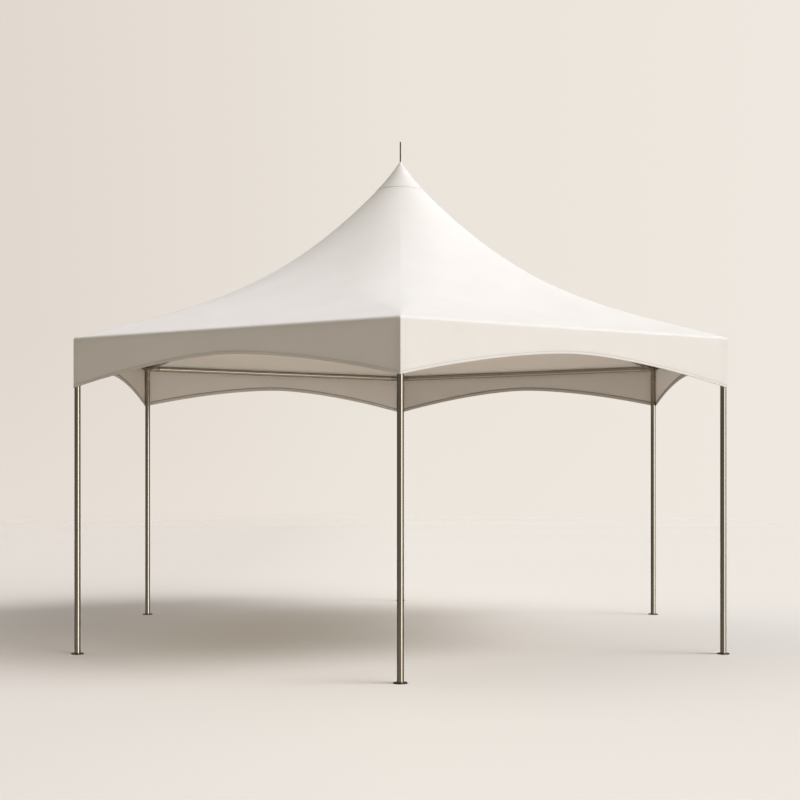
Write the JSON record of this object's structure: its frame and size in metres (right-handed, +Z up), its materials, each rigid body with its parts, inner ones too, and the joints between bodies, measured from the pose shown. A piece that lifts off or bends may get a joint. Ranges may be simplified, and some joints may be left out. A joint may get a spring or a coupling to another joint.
{
  "type": "gazebo tent",
  "caption": "Hexagonal gazebo tent: a high-peaked white fabric roof with arched valances, carried by a ring of slim metal legs on round foot plates.",
  "frame": {"origin": "on the ground in the middle of the plan", "axes": "+Z up along the mast and the roof's symmetry axis; the front leg stands towards -Y and the back leg towards +Y, so +Y runs corner to corner"},
  "size_m": [5.2962, 6.1, 4.49],
  "materials": {
    "satin_steel": "satin steel tube",
    "dark_steel": "dark satin steel",
    "white_fabric": "matt coated tent cloth"
  },
  "bodies": {
    "root": {"base_plate_front": "dark_steel", "leg_front": "satin_steel", "corner_fitting_front": "satin_steel", "hip_rafter_front": "satin_steel", "base_plate_front_right": "dark_steel", "leg_front_right": "satin_steel", "corner_fitting_front_right": "satin_steel", "hip_rafter_front_right": "satin_steel", "base_plate_back_right": "dark_steel", "leg_back_right": "satin_steel", "corner_fitting_back_right": "satin_steel", "hip_rafter_back_right": "satin_steel", "base_plate_back": "dark_steel", "leg_back": "satin_steel", "corner_fitting_back": "satin_steel", "hip_rafter_back": "satin_steel", "base_plate_back_left": "dark_steel", "leg_back_left": "satin_steel", "corner_fitting_back_left": "satin_steel", "hip_rafter_back_left": "satin_steel", "base_plate_front_left": "dark_steel", "leg_front_left": "satin_steel", "corner_fitting_front_left": "satin_steel", "hip_rafter_front_left": "satin_steel", "eave_bar_front_right": "satin_steel", "roof_panel_front_right": "white_fabric", "valance_front_right": "white_fabric", "eave_bar_right": "satin_steel", "roof_panel_right": "white_fabric", "valance_right": "white_fabric", "eave_bar_back_right": "satin_steel", "roof_panel_back_right": "white_fabric", "valance_back_right": "white_fabric", "eave_bar_back_left": "satin_steel", "roof_panel_back_left": "white_fabric", "valance_back_left": "white_fabric", "eave_bar_left": "satin_steel", "roof_panel_left": "white_fabric", "valance_left": "white_fabric", "eave_bar_front_left": "satin_steel", "roof_panel_front_left": "white_fabric", "valance_front_left": "white_fabric", "crown_hub": "satin_steel", "centre_mast": "satin_steel", "mast_head": "satin_steel", "finial_rod": "dark_steel", "peak_cap": "white_fabric"}
  },
  "joints": []
}
